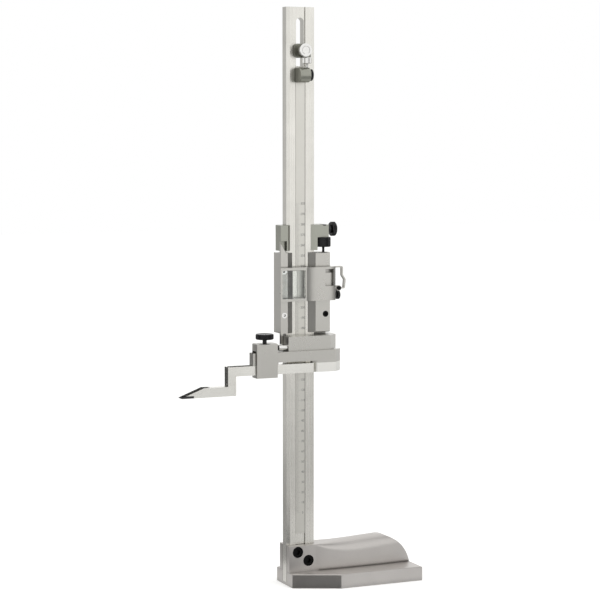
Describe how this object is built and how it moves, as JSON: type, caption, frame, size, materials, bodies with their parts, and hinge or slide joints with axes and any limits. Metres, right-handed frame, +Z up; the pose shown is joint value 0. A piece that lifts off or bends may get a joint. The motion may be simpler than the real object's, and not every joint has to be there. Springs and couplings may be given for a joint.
{
  "type": "height gauge",
  "caption": "Upright vernier height gauge with a sliding jaw and offset scriber, magnifier, fine-feed carriage, adjustable scale strip and a weighted wedge-shaped base with a hand grip.",
  "frame": {"origin": "On the surface the base stands on, under the middle of the column.", "axes": "+Z is up along the column, -Y is the graduated front, +X is the way the base and its grip reach, -X is the way the scriber points."},
  "size_m": [0.2448, 0.077, 0.557],
  "materials": {
    "base_casting": "satin chrome over a casting",
    "ground_steel": "ground",
    "satin_scale": "satin chrome",
    "satin_body": "satin chrome",
    "bright_chrome": "polished",
    "black_oxide": "black oxide",
    "brass": "turned",
    "carbide": "ground carbide",
    "lens": "polished acrylic"
  },
  "bodies": {
    "stand": {"base": "base_casting", "column": "ground_steel", "column_screws": "black_oxide"},
    "scale_block": {"scale_clamp_block": "ground_steel", "scale_clamp_plate": "ground_steel"},
    "scale_clamp_turner": {"scale_clamp_screw": "bright_chrome"},
    "scale_nut": {"scale_feed_nut": "bright_chrome", "scale_feed_ring": "bright_chrome"},
    "scale": {"main_scale": "satin_scale", "scale_bracket": "ground_steel", "scale_rivets": "bright_chrome", "scale_feed_screw": "bright_chrome"},
    "scale_lock": {"scale_lock_screw": "black_oxide"},
    "carriage_body": {"carriage": "satin_body", "carriage_shoe": "brass"},
    "carriage_clamp": {"carriage_clamp_screw": "black_oxide"},
    "feed_turner": {"feed_nut": "black_oxide", "feed_nut_ring": "black_oxide"},
    "slider_body": {"slider": "satin_body", "vernier_plate": "satin_scale", "vernier_screws": "bright_chrome", "slider_gib": "brass", "gib_screws": "black_oxide", "front_screws": "black_oxide", "feed_screw": "black_oxide", "jaw": "satin_body", "jaw_screws": "black_oxide", "jaw_side_screw": "bright_chrome"},
    "slider_clamp": {"slider_clamp_screw": "black_oxide"},
    "magnifier": {"magnifier_frame": "satin_body", "magnifier_lens": "lens", "magnifier_loop": "satin_body", "magnifier_pin": "black_oxide"},
    "clamp_body": {"scriber_clamp": "satin_body", "scriber_clamp_pad": "brass"},
    "clamp_turner": {"scriber_clamp_screw": "black_oxide"},
    "scriber_body": {"scriber": "ground_steel", "scriber_tip": "carbide"}
  },
  "joints": [
    {"name": "scale_coarse", "type": "slide", "parent": "stand", "child": "scale_block", "axis": [0, 0, 1], "range_m": [-0.004, 0.021]},
    {"name": "scale_fine", "type": "slide", "parent": "scale_block", "child": "scale", "axis": [0, 0, 1], "range_m": [-0.003, 0.003]},
    {"name": "scale_nut_turn", "type": "hinge", "parent": "scale_block", "child": "scale_nut", "pos_m": [0.0042, -0.0109, 0.5063], "axis": [0, 0, 1], "range_deg": [-2165, 2165]},
    {"name": "scale_clamp_turn", "type": "hinge", "parent": "scale_block", "child": "scale_clamp_turner", "pos_m": [0, -0.012, 0.5158], "axis": [0, -1, 0], "range_deg": [0, 720]},
    {"name": "scale_lock_turn", "type": "hinge", "parent": "scale", "child": "scale_lock", "pos_m": [0.0074, -0.0129, 0.4926], "axis": [1, 0, 0], "range_deg": [0, 720]},
    {"name": "carriage_slide", "type": "slide", "parent": "stand", "child": "carriage_body", "axis": [0, 0, 1], "range_m": [-0.1846, 0.112]},
    {"name": "carriage_clamp_turn", "type": "hinge", "parent": "carriage_body", "child": "carriage_clamp", "pos_m": [0.034, 0, 0.3452], "axis": [1, 0, 0], "range_deg": [0, 720]},
    {"name": "slider_feed", "type": "slide", "parent": "carriage_body", "child": "slider_body", "axis": [0, 0, 1], "range_m": [-0.006, 0.0018]},
    {"name": "feed_nut_turn", "type": "hinge", "parent": "carriage_body", "child": "feed_turner", "pos_m": [0.024, -0.0052, 0.333], "axis": [0, 0, 1], "range_deg": [-870, 2885]},
    {"name": "slider_clamp_turn", "type": "hinge", "parent": "slider_body", "child": "slider_clamp", "pos_m": [0.041, 0, 0.2812], "axis": [1, 0, 0], "range_deg": [0, 720]},
    {"name": "magnifier_slide", "type": "slide", "parent": "slider_body", "child": "magnifier", "axis": [0, 0, 1], "range_m": [-0.024, 0.012]},
    {"name": "scriber_clamp_slide", "type": "slide", "parent": "slider_body", "child": "clamp_body", "axis": [1, 0, 0], "range_m": [-0.003, 0.0022]},
    {"name": "scriber_clamp_turn", "type": "hinge", "parent": "clamp_body", "child": "clamp_turner", "pos_m": [-0.0434, -0.0195, 0.245], "axis": [0, 0, 1], "range_deg": [0, 720]},
    {"name": "scriber_slide", "type": "slide", "parent": "slider_body", "child": "scriber_body", "axis": [1, 0, 0], "range_m": [-0.03, 0]}
  ],
  "couplings": [
    {"joint": "scale_nut_turn", "follows": "scale_fine", "rad_per_m": -12566},
    {"joint": "feed_nut_turn", "follows": "slider_feed", "rad_per_m": -8377.6}
  ]
}
